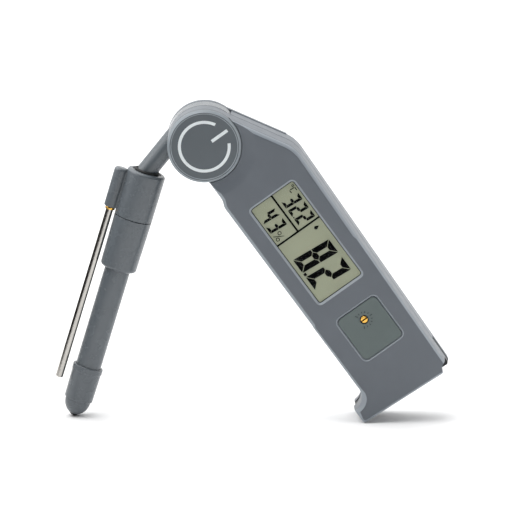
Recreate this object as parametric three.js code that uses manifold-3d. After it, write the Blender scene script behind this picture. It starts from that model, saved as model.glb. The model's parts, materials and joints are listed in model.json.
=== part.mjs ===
// A folding pocket pH meter in millimetres, standing open like an inverted V.
// World frame: +Z up, the display side faces -Y, the floor is Z = 0.
// The body and the probe are each drawn lying along their own +X, away from the hinge axis,
// and are then turned about the hinge axis, which runs along Y through the world Z axis.
// In both drawings X is the distance from the hinge along the piece, Y is the depth and
// Z is the side of the piece that ends up higher on the body and nearer the body on the probe.
import * as THREE from "three";
import { mergeVertices } from "three/addons/utils/BufferGeometryUtils.js";
import Module from "manifold-3d";

const wasm = await Module();
wasm.setup();

// ---------------------------------------------------------------- driving sizes
const HINGE_HEIGHT = 130.46; // hinge axis above the floor
const BODY_TURN = 54; // degrees below the horizontal, to the right
const PROBE_TURN = 106.6; // degrees, so the probe leans 16.6 past the vertical, to the left

const FRONT = -13; // depth of the display face
const BACK = 13; // depth of the back face
const WALL = 2; // wall of both shells
const FACE = 2; // thickness of the front and back faces
const GAP = 0.3; // gap left between separate pieces

const DISC_R = 17; // ears, drum and hinge cover
const DRUM_CLEAR_R = 17.5; // pocket of the shells around the drum
const FRONT_EAR_BACK = -2.2; // inner face of the front ear
const REAR_EAR_FRONT = 8.4; // inner face of the rear ear
const DRUM_FRONT = -1.7;
const DRUM_BACK = 7.9;
const PARTING = -2; // depth of the joint between the two shells

const BODY_END = 149; // body length at the hook corner
const END_SLANT = 0.05; // how much longer the body gets per millimetre towards its high side
const LOW_EDGE_NECK = -8.6; // low side of the body next to the hinge
const LOW_EDGE = -10; // low side of the body
const HIGH_EDGE = 33.4; // high side of the body below the shoulder
const HIGH_EDGE_TAPER = 0.0297; // how much the high side comes in per millimetre of length
const SHOULDER_ANGLE = 30; // shoulder line against the body's length, degrees
const SHOULDER_R = 16.6; // distance of the shoulder line from the hinge axis
const HOOK_EDGE = -17.6; // low side of the hook
const HOOK_LENGTH = 7.8; // straight side of the hook
const HOOK_FILLET_R = 7.6; // concave round between the low side and the hook
const SHOULDER_ROUND_R = 18;
const CORNER_R = 1.2;

const TRAY_FRONT = -1.6; // tray faces at the open end of the body
const TRAY_BACK = 5;
const TRAY_SLOT_BACK = 5.3; // rear side of the slot between the shells at the end
const TRAY_SLOT_START = 137; // where the slot in the shell walls starts

const PROBE_Y = 3.1; // depth of the probe axis, the middle of the drum
const PROBE_LINE = -21; // probe axis in the probe drawing
const ROD_LINE = -32.5; // rod axis in the probe drawing
const ROD_R = 1.75;
const BOSS_R = 3.3;
const NECK_R = 4.6;
const NECK_OFFSET = 11.5; // distance of the neck axis from the hinge axis
const NECK_BEND = 22; // degrees between the neck and the probe axis
const COLLAR_TOP = 22;
const COLLAR_SEAM = 44.6;
const COLLAR_END = 69.5;
const COLLAR_R_TOP = 9;
const COLLAR_R_END = 8.5;
const STEM_R = 6;
const CAP_START = 117.7;
const CAP_SHOULDER = 134.3;
const TIP_R = 2.6;

const rad = (degrees) => (degrees * Math.PI) / 180;

// ---------------------------------------------------------------- solids
// A closed geometry as a solid that can be joined and cut.
function solid(geometry) {
  const bare = geometry.index ? geometry.toNonIndexed() : geometry.clone();
  bare.deleteAttribute("normal");
  bare.deleteAttribute("uv");
  const merged = mergeVertices(bare, 1e-4);
  return new wasm.Manifold(
    new wasm.Mesh({
      numProp: 3,
      vertProperties: merged.attributes.position.array,
      triVerts: new Uint32Array(merged.index.array),
    }),
  );
}

// A solid as a geometry.
function geometryOf(shape) {
  const mesh = shape.getMesh();
  const count = mesh.numProp;
  const places = new Float32Array(mesh.numVert * 3);
  for (let i = 0; i < mesh.numVert; i++) {
    places.set(mesh.vertProperties.subarray(i * count, i * count + 3), i * 3);
  }
  const geometry = new THREE.BufferGeometry();
  geometry.setAttribute("position", new THREE.BufferAttribute(places, 3));
  geometry.setIndex(new THREE.BufferAttribute(mesh.triVerts, 1));
  geometry.computeVertexNormals();
  return geometry;
}

const join = (first, ...others) => others.reduce((sum, next) => sum.add(next), first);
const cut = (first, ...others) => others.reduce((rest, next) => rest.subtract(next), first);

// The closed outline through the points, without the ones that repeat the point before.
function tidy(points) {
  const far = (point, other) => point.distanceTo(other) > 1e-3;
  const kept = points.filter((point, i) => far(point, points[(i + 1) % points.length]));
  return new THREE.Shape(kept);
}

// A flat outline in X and Z, extruded from depth y0 to depth y1. A bevel narrows that face.
function slab(outline, y0, y1, bevelFront = 0, bevelBack = 0, curveSegments = 16) {
  const bevel = Math.max(bevelFront, bevelBack);
  const start = bevelFront > 0 ? y0 : y0 - bevel;
  const end = bevelBack > 0 ? y1 : y1 + bevel;
  const geometry = new THREE.ExtrudeGeometry(tidy(outline.getPoints(curveSegments)), {
    depth: end - start - 2 * bevel,
    bevelEnabled: bevel > 0,
    bevelThickness: bevel,
    bevelSize: bevel,
    bevelOffset: -bevel,
    bevelSegments: 2,
  });
  geometry.rotateX(Math.PI / 2);
  geometry.translate(0, end - bevel, 0);
  return solid(geometry).intersect(box(-500, 500, y0, y1, -500, 500));
}

function box(x0, x1, y0, y1, z0, z1) {
  const geometry = new THREE.BoxGeometry(x1 - x0, y1 - y0, z1 - z0);
  geometry.translate((x0 + x1) / 2, (y0 + y1) / 2, (z0 + z1) / 2);
  return solid(geometry);
}

// A disc or pin along the depth.
function pin(x, z, radius, y0, y1, sides = 24) {
  const geometry = new THREE.CylinderGeometry(radius, radius, y1 - y0, sides);
  geometry.translate(x, (y0 + y1) / 2, z);
  return solid(geometry);
}

// A body turned about a line along X at (y, z). The profile is pairs of X and radius,
// from low X to high X, and it is closed along the axis, or along a bore of the given radius.
function turned(profile, y, z, sides = 32, bore = 0) {
  const points = profile.map(([x, radius]) => new THREE.Vector2(radius, x));
  const first = profile[0][0];
  const last = profile[profile.length - 1][0];
  points.unshift(new THREE.Vector2(bore, first));
  points.push(new THREE.Vector2(bore, last));
  if (bore > 0) {
    points.push(new THREE.Vector2(bore, first));
  }
  const geometry = new THREE.LatheGeometry(points, sides);
  geometry.rotateZ(-Math.PI / 2);
  geometry.translate(0, y, z);
  return solid(geometry);
}

function rectangle(x0, x1, z0, z1, radius) {
  const shape = new THREE.Shape();
  shape.moveTo(x0 + radius, z0);
  shape.lineTo(x1 - radius, z0);
  shape.absarc(x1 - radius, z0 + radius, radius, -Math.PI / 2, 0);
  shape.lineTo(x1, z1 - radius);
  shape.absarc(x1 - radius, z1 - radius, radius, 0, Math.PI / 2);
  shape.lineTo(x0 + radius, z1);
  shape.absarc(x0 + radius, z1 - radius, radius, Math.PI / 2, Math.PI);
  shape.lineTo(x0, z0 + radius);
  shape.absarc(x0 + radius, z0 + radius, radius, Math.PI, 1.5 * Math.PI);
  return shape;
}

// ---------------------------------------------------------------- body outline
const endAt = (z) => BODY_END + (z - HOOK_EDGE) * END_SLANT;
const highEdgeAt = (x) => HIGH_EDGE - (x - 36) * HIGH_EDGE_TAPER;

// A closed outline through corners of [x, z, radius], each rounded by an arc that touches both sides.
function rounded(corners, steps = 8) {
  const points = [];
  corners.forEach(([x, z, radius], i) => {
    const corner = new THREE.Vector2(x, z);
    const [px, pz] = corners[(i + corners.length - 1) % corners.length];
    const [nx, nz] = corners[(i + 1) % corners.length];
    const back = new THREE.Vector2(px, pz).sub(corner).normalize();
    const ahead = new THREE.Vector2(nx, nz).sub(corner).normalize();
    if (radius === 0) {
      points.push(corner);
      return;
    }
    const half = Math.acos(THREE.MathUtils.clamp(back.dot(ahead), -1, 1)) / 2;
    const middle = back.clone().add(ahead).normalize();
    const centre = corner.clone().addScaledVector(middle, radius / Math.sin(half));
    const start = corner.clone().addScaledVector(back, radius / Math.tan(half)).sub(centre);
    const sweep = (Math.PI - 2 * half) * Math.sign(back.cross(ahead)) * -1;
    for (let k = 0; k <= steps; k++) {
      const turnedPoint = start.clone().rotateAround(new THREE.Vector2(), (sweep * k) / steps);
      points.push(turnedPoint.add(centre));
    }
  });
  return new THREE.Shape(points);
}

// The side view of the body, kept `inset` inside its real edges.
// The ear round the hinge is drawn separately, so the outline starts beside it.
function bodyOutline(inset) {
  const neck = LOW_EDGE_NECK + inset;
  const low = LOW_EDGE + inset;
  const hook = HOOK_EDGE + inset;
  const hookX = BODY_END - HOOK_LENGTH + inset;
  const angle = rad(SHOULDER_ANGLE);
  const shoulderAt = (x) => (SHOULDER_R - inset + x * Math.sin(angle)) / Math.cos(angle);
  const highAt = (x) => highEdgeAt(x) - inset;
  const shoulderX =
    (highAt(0) - shoulderAt(0)) / (Math.tan(angle) + HIGH_EDGE_TAPER);
  const highEnd = highAt(BODY_END);
  const hingeSide = -7;
  return rounded([
    [hingeSide, neck, 0],
    [25.5, neck, 5],
    [29, low, 5],
    [hookX, low, HOOK_FILLET_R],
    [hookX, hook, 0],
    [endAt(hook) - inset, hook, CORNER_R],
    [endAt(highEnd) - inset, highEnd, CORNER_R],
    [shoulderX, highAt(shoulderX), SHOULDER_ROUND_R],
    [hingeSide, shoulderAt(hingeSide), 0],
  ]);
}

// ---------------------------------------------------------------- groups and materials
const meter = new THREE.Group();
meter.name = "ph_meter";
const body = new THREE.Group();
body.position.z = HINGE_HEIGHT;
body.rotation.y = rad(BODY_TURN);
const probe = new THREE.Group();
probe.position.z = HINGE_HEIGHT;
probe.rotation.y = rad(PROBE_TURN);
meter.add(body, probe);

function piece(group, name, shape, color, metalness = 0, roughness = 0.6) {
  const material = new THREE.MeshStandardMaterial({ color, metalness, roughness });
  const mesh = new THREE.Mesh(geometryOf(shape), material);
  mesh.name = name;
  group.add(mesh);
}

const CASE_GREY = 0x676e76;
const PROBE_GREY = 0x62686f;
const BLACK = 0x17181a;
const BRASS = 0xc79a3c;
const STEEL = 0xc4c6c8;
const BOARD_GREEN = 0x1f5a3a;

// ---------------------------------------------------------------- front shell
const WINDOW = { x0: 36.7, x1: 90.8, z0: -0.7, z1: 23.3, r: 1.8 };
const LENS = { x0: 35.2, x1: 92.3, z0: -2.2, z1: 24.8, y0: -11.5, y1: -10.5 };
const LABEL = { x0: 102.2, x1: 125, z0: 0.7, z1: 22, r: 2.3, depth: 0.8 };
const TRIMMER = { x: 108.8, z: 11.6 };
const COVER_BACK = -10; // back of the round hinge cover
const AXLE_R = 3.9;
const SCREWS = [
  [28, 0],
  [28, 26],
  [98, -4],
  [98, 25.5],
];
const POST_R = 3;

const shellBack = PARTING - GAP / 2;
let frontShell = slab(bodyOutline(0), FRONT, shellBack, 0.9);
// The face dips in a shallow cone round the hinge cover, and the ear is a disc behind the cover.
const dip = new THREE.CylinderGeometry(17.2, 24.5, 3, 64).translate(0, FRONT + 1.5, 0);
frontShell = frontShell.subtract(solid(dip));
frontShell = frontShell.add(pin(0, 0, DISC_R, COVER_BACK + GAP, FRONT_EAR_BACK, 64));
frontShell = frontShell.subtract(pin(0, 0, DISC_R + GAP, FRONT - 1, COVER_BACK + GAP, 64));
const frontCavity = cut(
  slab(bodyOutline(WALL), FRONT + FACE, 5),
  pin(0, 0, DRUM_CLEAR_R + WALL, -20, 20, 48),
  pin(0, 0, 26, -20, -8, 48),
  box(130, 200, -20, 20, -60, LOW_EDGE + WALL),
  box(143, 200, -20, 20, -60, 60),
);
frontShell = cut(
  frontShell,
  frontCavity,
  slab(rectangle(WINDOW.x0, WINDOW.x1, WINDOW.z0, WINDOW.z1, WINDOW.r), FRONT - 1, -5),
  box(LENS.x0 - GAP, LENS.x1 + GAP, LENS.y0 - GAP, -5, LENS.z0 - GAP, LENS.z1 + GAP),
  slab(
    rectangle(LABEL.x0 - GAP, LABEL.x1 + GAP, LABEL.z0 - GAP, LABEL.z1 + GAP, LABEL.r),
    FRONT - 1,
    FRONT + LABEL.depth,
  ),
  pin(TRIMMER.x, TRIMMER.z, 2.4, FRONT - 1, -5),
);
for (const [x, z] of SCREWS) {
  const post = pin(x, z, POST_R, FRONT + FACE - 0.2, -5.9, 16);
  frontShell = frontShell.add(post).subtract(pin(x, z, 1, -10.5, 0, 12));
}
// The high corner by the tray is cut back, so a fingertip reaches the tray.
const fingerNotch = new THREE.Shape([
  new THREE.Vector2(145.6, 40),
  new THREE.Vector2(145.6, 32.4),
  new THREE.Vector2(148, 27.2),
  new THREE.Vector2(160, 22.2),
  new THREE.Vector2(160, 40),
]);
frontShell = frontShell.subtract(slab(fingerNotch, FRONT - 1, 0));
frontShell = cut(frontShell, pin(0, 0, AXLE_R + 0.1, -20, 20, 32), pin(0, 0, 6.4, -20, -7.6, 32));
piece(body, "front_shell", frontShell, CASE_GREY);

const coverProfile = [
  new THREE.Vector2(0, FRONT),
  new THREE.Vector2(DISC_R - 0.9, FRONT),
  new THREE.Vector2(DISC_R - 0.25, FRONT + 0.25),
  new THREE.Vector2(DISC_R, FRONT + 0.9),
  new THREE.Vector2(DISC_R, COVER_BACK),
  new THREE.Vector2(0, COVER_BACK),
];
piece(body, "hinge_cover", solid(new THREE.LatheGeometry(coverProfile, 64)), 0x585e64);

// ---------------------------------------------------------------- rear shell
let rearShell = slab(bodyOutline(0), PARTING + GAP / 2, BACK, 0, 0.9);
const rearCavity = cut(
  slab(bodyOutline(WALL), -5, BACK - FACE),
  pin(0, 0, DRUM_CLEAR_R + WALL, -20, 20, 48),
  box(130, 200, -20, 20, -60, LOW_EDGE + WALL),
  box(TRAY_SLOT_START + 1, 200, -20, 20, -60, 60),
);
rearShell = cut(
  rearShell,
  pin(0, 0, DRUM_CLEAR_R, -20, 20, 64),
  rearCavity,
  box(TRAY_SLOT_START, 200, -20, TRAY_SLOT_BACK, -60, 60),
);
rearShell = rearShell.add(slab(earOutline(), REAR_EAR_FRONT, BACK, 0, 0.9));
for (const [x, z] of SCREWS) {
  rearShell = rearShell.add(pin(x, z, POST_R + 0.6, -5.5, BACK - 1, 16));
  rearShell = cut(rearShell, pin(x, z, 1.4, -20, 20, 12), pin(x, z, 2.7, 6, 20, 16));
}
rearShell = cut(rearShell, pin(0, 0, AXLE_R + 0.1, -20, 20, 32), pin(0, 0, 5.6, 10.4, 20, 32));
piece(body, "rear_shell", rearShell, CASE_GREY);

// The rear ear: the hinge disc and the stub that joins it to the body.
function earOutline() {
  const angle = rad(SHOULDER_ANGLE);
  const start = Math.PI / 2 + angle - Math.acos(SHOULDER_R / DISC_R);
  const end = 2 * Math.PI - Math.asin(-LOW_EDGE_NECK / DISC_R);
  const reach = 21;
  const shape = new THREE.Shape();
  shape.moveTo(reach, LOW_EDGE_NECK);
  shape.lineTo(reach, (SHOULDER_R + reach * Math.sin(angle)) / Math.cos(angle));
  shape.lineTo(DISC_R * Math.cos(start), DISC_R * Math.sin(start));
  shape.absarc(0, 0, DISC_R, start, end);
  return shape;
}

// ---------------------------------------------------------------- display and board
function plate(x0, x1, y0, y1, z0, z1, radius) {
  return slab(rectangle(x0, x1, z0, z1, radius), y0, y1, 0, 0, 6);
}

piece(body, "lcd_lens", plate(LENS.x0, LENS.x1, LENS.y0, LENS.y1, LENS.z0, LENS.z1, 1), 0xe8ecec);
const LCD = { x0: 35.4, x1: 92.1, y0: -10.3, y1: -8.1, z0: -2, z1: 24.6 };
piece(body, "lcd_panel", box(LCD.x0, LCD.x1, LCD.y0, LCD.y1, LCD.z0, LCD.z1), 0x969a80);
const lcdHolder = cut(
  box(LCD.x0 - 1.7, LCD.x1 + 1.7, -9.8, -6, LCD.z0 - 1.7, LCD.z1 + 1.7),
  box(LCD.x0 - GAP, LCD.x1 + GAP, -10.5, LCD.y1 + GAP, LCD.z0 - GAP, LCD.z1 + GAP),
  box(LCD.x0 + 1.2, LCD.x1 - 1.2, -12, 0, LCD.z0 + 1.2, LCD.z1 - 1.2),
);
piece(body, "lcd_holder", lcdHolder, 0xd9d9d4);
piece(body, "lcd_contact_low", box(38, 90, LCD.y1 + GAP, -6.1, -0.5, 1.7), 0xd98f9f);
piece(body, "lcd_contact_high", box(38, 90, LCD.y1 + GAP, -6.1, 20.9, 23.1), 0xd98f9f);

const BOARD_FRONT = -5.6;
const BOARD_BACK = -4;
let board = plate(32.5, 134, BOARD_FRONT, BOARD_BACK, -7.4, 27.6, 2);
board = cut(board, pin(98, -4, 4.2, -20, 20, 16), pin(98, 25.5, 4.2, -20, 20, 16));
piece(body, "main_board", board, BOARD_GREEN);
piece(body, "display_chip", plate(55, 67, BOARD_BACK + 0.2, -2.6, 6, 18, 0.5), BLACK);
piece(body, "amplifier_chip", plate(80, 86, BOARD_BACK + 0.2, -2.4, 4, 8, 0.2), BLACK);
piece(body, "reed_switch", box(35, 49, BOARD_BACK + 0.2, -1.6, -6, -3.6), 0x9fb59f);
const trimmerBody = box(105.2, 112.4, -10.7, BOARD_FRONT - 0.2, 9.2, 14);
piece(body, "trimmer_body", trimmerBody, 0x2d5fa8);
const LABEL_FRONT = FRONT + 0.15;
const labelPlate = cut(
  plate(LABEL.x0, LABEL.x1, LABEL_FRONT, FRONT + LABEL.depth - 0.1, LABEL.z0, LABEL.z1, LABEL.r),
  pin(TRIMMER.x, TRIMMER.z, 2.1, -20, 0),
);
piece(body, "label_plate", labelPlate, 0x5a6866);
const trimmerScrew = cut(
  pin(TRIMMER.x, TRIMMER.z, 1.65, FRONT + 0.05, -10.95, 24),
  box(TRIMMER.x - 0.3, TRIMMER.x + 0.3, FRONT - 1, FRONT + 0.55, TRIMMER.z - 3, TRIMMER.z + 3),
);
piece(body, "trimmer_screw", trimmerScrew, BRASS, 1, 0.3);

// ---------------------------------------------------------------- battery bay and tray
const BAY = { x0: 103, x1: 136.6, y0: -2.9, y1: 6.2, z0: -7.4, z1: 27.9 };
const TRAY = { x0: 106.5, z0: -5.8, z1: 26.3 };
const bay = join(
  cut(
    box(BAY.x0, BAY.x1, BAY.y0, BAY.y1, BAY.z0, BAY.z1),
    box(BAY.x0 + 1, 200, BAY.y0 + 0.9, TRAY_SLOT_BACK, BAY.z0 + 1.2, BAY.z1 - 1.2),
  ),
  box(110, 111.5, BAY.y1 - 0.2, BACK - FACE - 0.2, BAY.z0 + 2, BAY.z1 - 2),
  box(128, 129.5, BAY.y1 - 0.2, BACK - FACE - 0.2, BAY.z0 + 2, BAY.z1 - 2),
);
piece(body, "battery_bay", bay, 0x8a8d90);
piece(body, "contact_plus", box(104.4, 105, -1.4, 4.8, 2, 8), STEEL, 1, 0.35);
piece(body, "contact_minus", box(104.4, 105, -1.4, 4.8, 13, 19), STEEL, 1, 0.35);

const CELL_R = 5.8;
const CELLS = [
  [114.2, 3.7],
  [114.2, 16.8],
  [127.3, 3.7],
  [127.3, 16.8],
];
const trayEnd = slab(bodyOutline(1.3), TRAY_FRONT, TRAY_BACK).intersect(
  box(TRAY_SLOT_START + 1.2, 200, -20, 20, -60, 60),
);
let tray = box(TRAY.x0, TRAY_SLOT_START + 3, TRAY_FRONT, TRAY_BACK, TRAY.z0, TRAY.z1).add(trayEnd);
for (const [x, z] of CELLS) {
  tray = tray.subtract(pin(x, z, CELL_R + 0.25, -20, TRAY_BACK - 0.9, 32));
}
piece(body, "battery_tray", tray, BLACK);
CELLS.forEach(([x, z], i) => {
  const cell = pin(x, z, CELL_R, TRAY_FRONT + 0.1, TRAY_BACK - 1.2, 32);
  piece(body, `cell_${i + 1}`, cell, STEEL, 1, 0.3);
});

// ---------------------------------------------------------------- hinge parts and case screws
const AXLE_HEAD_BACK = -7.9;
const axle = cut(
  join(pin(0, 0, 5.9, -9.3, AXLE_HEAD_BACK, 32), pin(0, 0, AXLE_R, -8.5, 9.9, 32)),
  pin(0, 0, 1.5, 3, 12, 16),
);
piece(body, "hinge_axle", axle, STEEL, 1, 0.3);
// A screw with a flat head and a slot, driven in from the back. `head` is the depth of its face.
function backScrew(x, z, headR, head, headDepth, shankR, shankEnd) {
  const under = head - headDepth;
  return cut(
    join(pin(x, z, headR, under, head, 20), pin(x, z, shankR, shankEnd, under + 0.2, 12)),
    box(x - headR, x + headR, head - 0.6, head + 1, z - 0.35, z + 0.35),
    box(x - 0.35, x + 0.35, head - 0.6, head + 1, z - headR, z + headR),
  );
}
piece(body, "axle_screw", backScrew(0, 0, 5, 12.4, 1.7, 1.4, 3.4), STEEL, 1, 0.35);
SCREWS.forEach(([x, z], i) => {
  piece(body, `case_screw_${i + 1}`, backScrew(x, z, 2.4, 7.9, 1.6, 0.9, -9.5), STEEL, 1, 0.35);
});

// ---------------------------------------------------------------- arm
const WASHER_POCKET = { r: 8.6, y: 6.5 };
const neckAngle = rad(NECK_BEND);
const neckLength = 28.6;
const neckTube = new THREE.CylinderGeometry(NECK_R, NECK_R, neckLength, 32);
neckTube.translate(0, neckLength / 2, 0);
neckTube.rotateZ(-Math.PI / 2);
neckTube.rotateY(neckAngle);
neckTube.translate(
  -NECK_OFFSET * Math.sin(neckAngle),
  PROBE_Y,
  -NECK_OFFSET * Math.cos(neckAngle),
);
const elbow = new THREE.SphereGeometry(NECK_R, 32, 16);
elbow.translate(COLLAR_TOP + 1, PROBE_Y, PROBE_LINE - 0.2);
const arm = cut(
  join(
    pin(0, 0, DISC_R, DRUM_FRONT, DRUM_BACK, 64),
    solid(neckTube),
    solid(elbow),
    turned([[COLLAR_TOP + 1, NECK_R], [34, NECK_R]], PROBE_Y, PROBE_LINE, 32),
  ),
  pin(0, 0, AXLE_R + 0.05, -20, 20, 32),
  pin(0, 0, WASHER_POCKET.r, WASHER_POCKET.y, 20, 32),
  pin(11.5, 4, 2.3, -20, 1.5, 16),
);
piece(probe, "probe_arm", arm, PROBE_GREY);
const washer = cut(
  pin(0, 0, 7.8, WASHER_POCKET.y + 0.3, REAR_EAR_FRONT - 0.3, 32),
  pin(0, 0, 4.4, 0, 20, 32),
);
piece(probe, "wave_washer", washer, STEEL, 1, 0.3);
piece(probe, "fold_magnet", pin(11.5, 4, 2, DRUM_FRONT + 0.1, 1.2, 16), STEEL, 1, 0.2);
const seal = turned(
  [[COLLAR_TOP - 1.2, 6.2], [COLLAR_TOP - 0.3, 6.9]],
  PROBE_Y,
  PROBE_LINE,
  32,
  5.6,
);
piece(probe, "neck_seal", seal, BLACK);

// ---------------------------------------------------------------- collar and rod
const seam = COLLAR_SEAM;
const upperCore = turned(
  [
    [COLLAR_TOP, COLLAR_R_TOP - 1.6],
    [COLLAR_TOP + 0.4, COLLAR_R_TOP - 0.6],
    [COLLAR_TOP + 1.4, COLLAR_R_TOP],
    [seam - 0.15, COLLAR_R_TOP - 0.1],
  ],
  PROBE_Y,
  PROBE_LINE,
  40,
);
const boss = turned(
  [
    [COLLAR_TOP + 1.4, BOSS_R - 1.6],
    [COLLAR_TOP + 1.8, BOSS_R - 0.6],
    [COLLAR_TOP + 2.8, BOSS_R],
    [42.4, BOSS_R - 0.1],
  ],
  PROBE_Y,
  ROD_LINE,
  24,
);
const webDepth = 2.4;
const web = box(
  COLLAR_TOP + 1.8,
  42.4,
  PROBE_Y - webDepth,
  PROBE_Y + webDepth,
  ROD_LINE,
  PROBE_LINE - 6,
);
const collarUpper = cut(
  join(upperCore, boss, web),
  turned([[COLLAR_TOP - 1, NECK_R + 2.2], [COLLAR_TOP + 1, NECK_R + 1], [34.4, NECK_R + 0.3]],
    PROBE_Y, PROBE_LINE, 32),
  turned([[35.4, 6.3], [60, 6.3]], PROBE_Y, PROBE_LINE, 32),
  turned([[30, ROD_R + 0.15], [60, ROD_R + 0.15]], PROBE_Y, ROD_LINE, 20),
);
piece(probe, "collar_upper", collarUpper, PROBE_GREY);
const rod = turned(
  [[30.5, ROD_R], [125.4, ROD_R], [126.2, ROD_R - 0.3], [126.7, ROD_R - 1]],
  PROBE_Y,
  ROD_LINE,
  24,
);
piece(probe, "temperature_rod", rod, STEEL, 1, 0.2);
const ferrule = turned([[42.6, 2.3], [43.7, 2.3]], PROBE_Y, ROD_LINE, 24, ROD_R + 0.2);
piece(probe, "rod_ferrule", ferrule, BRASS, 1, 0.3);

// ---------------------------------------------------------------- electrode
const lowerCollar = cut(
  join(
    turned(
      [
        [seam + 0.15, COLLAR_R_TOP - 0.1],
        [COLLAR_END - 1.6, COLLAR_R_END],
        [COLLAR_END - 0.5, COLLAR_R_END - 0.5],
        [COLLAR_END, COLLAR_R_END - 1.5],
      ],
      PROBE_Y,
      PROBE_LINE,
      40,
    ),
    turned([[36.4, 6], [seam + 1, 6]], PROBE_Y, PROBE_LINE, 32),
  ),
  turned([[54, STEM_R + 0.15], [80, STEM_R + 0.15]], PROBE_Y, PROBE_LINE, 32),
);
piece(probe, "electrode_head", lowerCollar, PROBE_GREY);
piece(
  probe,
  "electrode_pins",
  turned([[35.6, 1.2], [36.2, 1.2]], PROBE_Y, PROBE_LINE, 16),
  BRASS,
  1,
  0.3,
);
const STEM_END = 127;
const stem = turned([[54.4, STEM_R], [STEM_END, STEM_R]], PROBE_Y, PROBE_LINE, 32, 4.8);
piece(probe, "electrode_stem", stem, PROBE_GREY);
const BULB_R = 4;
const innerTube = turned([[56, 4.4], [STEM_END - 4.4, 4.4]], PROBE_Y, PROBE_LINE, 24, 3.2);
piece(probe, "glass_tube", innerTube, 0xd8e4e8, 0, 0.1);
const bulb = new THREE.SphereGeometry(BULB_R, 24, 16);
bulb.translate(STEM_END, PROBE_Y, PROBE_LINE);
piece(probe, "glass_bulb", solid(bulb), 0xd8e4e8, 0, 0.1);

// ---------------------------------------------------------------- cap
const CAP_WALL_R = 6.9;
const tipCentre =
  (HINGE_HEIGHT - TIP_R + PROBE_LINE * Math.cos(rad(PROBE_TURN))) / Math.sin(rad(PROBE_TURN));
const NOSE_END = tipCentre + 1.4;
const NOSE_R = 2.3;
const DOME_R = 6;
const DOME_STEPS = 8;
const domeTurn = Math.acos(NOSE_R / DOME_R);
const domeLength = (NOSE_END - CAP_SHOULDER) / Math.sin(domeTurn);
const dome = [];
for (let k = 0; k <= DOME_STEPS; k += 1) {
  const angle = (domeTurn * k) / DOME_STEPS;
  dome.push([CAP_SHOULDER + domeLength * Math.sin(angle), DOME_R * Math.cos(angle)]);
}
const cap = cut(
  turned(
    [
      [CAP_START, CAP_WALL_R - 0.3],
      [CAP_START + 0.4, CAP_WALL_R + 0.2],
      [CAP_START + 2.2, CAP_WALL_R + 0.2],
      [CAP_START + 2.8, CAP_WALL_R],
      [CAP_SHOULDER - 0.8, CAP_WALL_R - 0.3],
      [CAP_SHOULDER - 0.2, CAP_WALL_R - 0.5],
      ...dome,
    ],
    PROBE_Y,
    PROBE_LINE,
    40,
  ),
  turned([[100, STEM_R + 0.1], [STEM_END + 1, STEM_R + 0.1], [CAP_SHOULDER - 1.5, 4.6]],
    PROBE_Y, PROBE_LINE, 32),
  turned([[CAP_START + 4, STEM_R + 0.6], [CAP_START + 5.6, STEM_R + 0.6]],
    PROBE_Y, PROBE_LINE, 32),
  turned([[NOSE_END - 3, 2], [200, 2]], PROBE_Y, PROBE_LINE, 24),
);
piece(probe, "cap", cap, PROBE_GREY);
const ring = turned([[CAP_START + 4.2, STEM_R + 0.4], [CAP_START + 5.4, STEM_R + 0.4]],
  PROBE_Y, PROBE_LINE, 32, STEM_R + 0.05);
piece(probe, "cap_o_ring", ring, BLACK);
const tipBall = new THREE.SphereGeometry(TIP_R, 24, 24);
tipBall.translate(tipCentre, PROBE_Y, PROBE_LINE);
const tip = join(
  solid(tipBall).intersect(box(NOSE_END + 0.15, 300, -50, 50, -100, 100)),
  turned([[NOSE_END - 2.8, 1.8], [NOSE_END + 0.4, 1.8]], PROBE_Y, PROBE_LINE, 24),
);
piece(probe, "cap_tip", tip, BLACK);

// The meter stands on the floor, with the middle of its box over the origin.
const bounds = new THREE.Box3().setFromObject(meter, true);
meter.position.set(-(bounds.min.x + bounds.max.x) / 2, 0, -bounds.min.z);

export default meter;
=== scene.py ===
"""The looks of a folding pocket pH meter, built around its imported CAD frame.

The pieces are drawn in millimetres in two drawings that both lie along +X, away from the hinge:
one of the body and one of the probe. X is the distance from the hinge, Y is the depth in the
row frame, and Z is the side that is higher on the body and nearer the body on the probe.
"""
import json
import math

import bmesh
import bpy
from mathutils import Matrix, Vector


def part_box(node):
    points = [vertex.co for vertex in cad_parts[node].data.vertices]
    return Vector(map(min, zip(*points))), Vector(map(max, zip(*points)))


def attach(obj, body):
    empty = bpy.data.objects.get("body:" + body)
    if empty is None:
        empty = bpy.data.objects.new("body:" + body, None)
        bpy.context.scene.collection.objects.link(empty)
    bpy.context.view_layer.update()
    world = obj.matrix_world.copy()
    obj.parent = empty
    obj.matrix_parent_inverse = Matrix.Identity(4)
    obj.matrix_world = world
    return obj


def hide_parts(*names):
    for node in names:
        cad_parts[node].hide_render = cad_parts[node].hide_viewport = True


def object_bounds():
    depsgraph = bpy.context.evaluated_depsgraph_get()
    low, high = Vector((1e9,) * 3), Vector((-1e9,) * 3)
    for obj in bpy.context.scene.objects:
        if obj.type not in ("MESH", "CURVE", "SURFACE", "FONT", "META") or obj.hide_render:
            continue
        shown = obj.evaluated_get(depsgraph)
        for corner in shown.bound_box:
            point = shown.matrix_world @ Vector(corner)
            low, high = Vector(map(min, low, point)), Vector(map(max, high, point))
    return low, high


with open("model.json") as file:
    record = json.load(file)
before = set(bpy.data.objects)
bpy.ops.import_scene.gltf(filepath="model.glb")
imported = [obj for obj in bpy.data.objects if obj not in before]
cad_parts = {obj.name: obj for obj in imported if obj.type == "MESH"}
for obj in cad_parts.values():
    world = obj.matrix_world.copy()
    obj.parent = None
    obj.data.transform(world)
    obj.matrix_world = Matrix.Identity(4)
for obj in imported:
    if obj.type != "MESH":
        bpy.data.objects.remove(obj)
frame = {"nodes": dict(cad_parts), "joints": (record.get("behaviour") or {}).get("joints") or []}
cad_low, cad_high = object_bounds()

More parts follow.
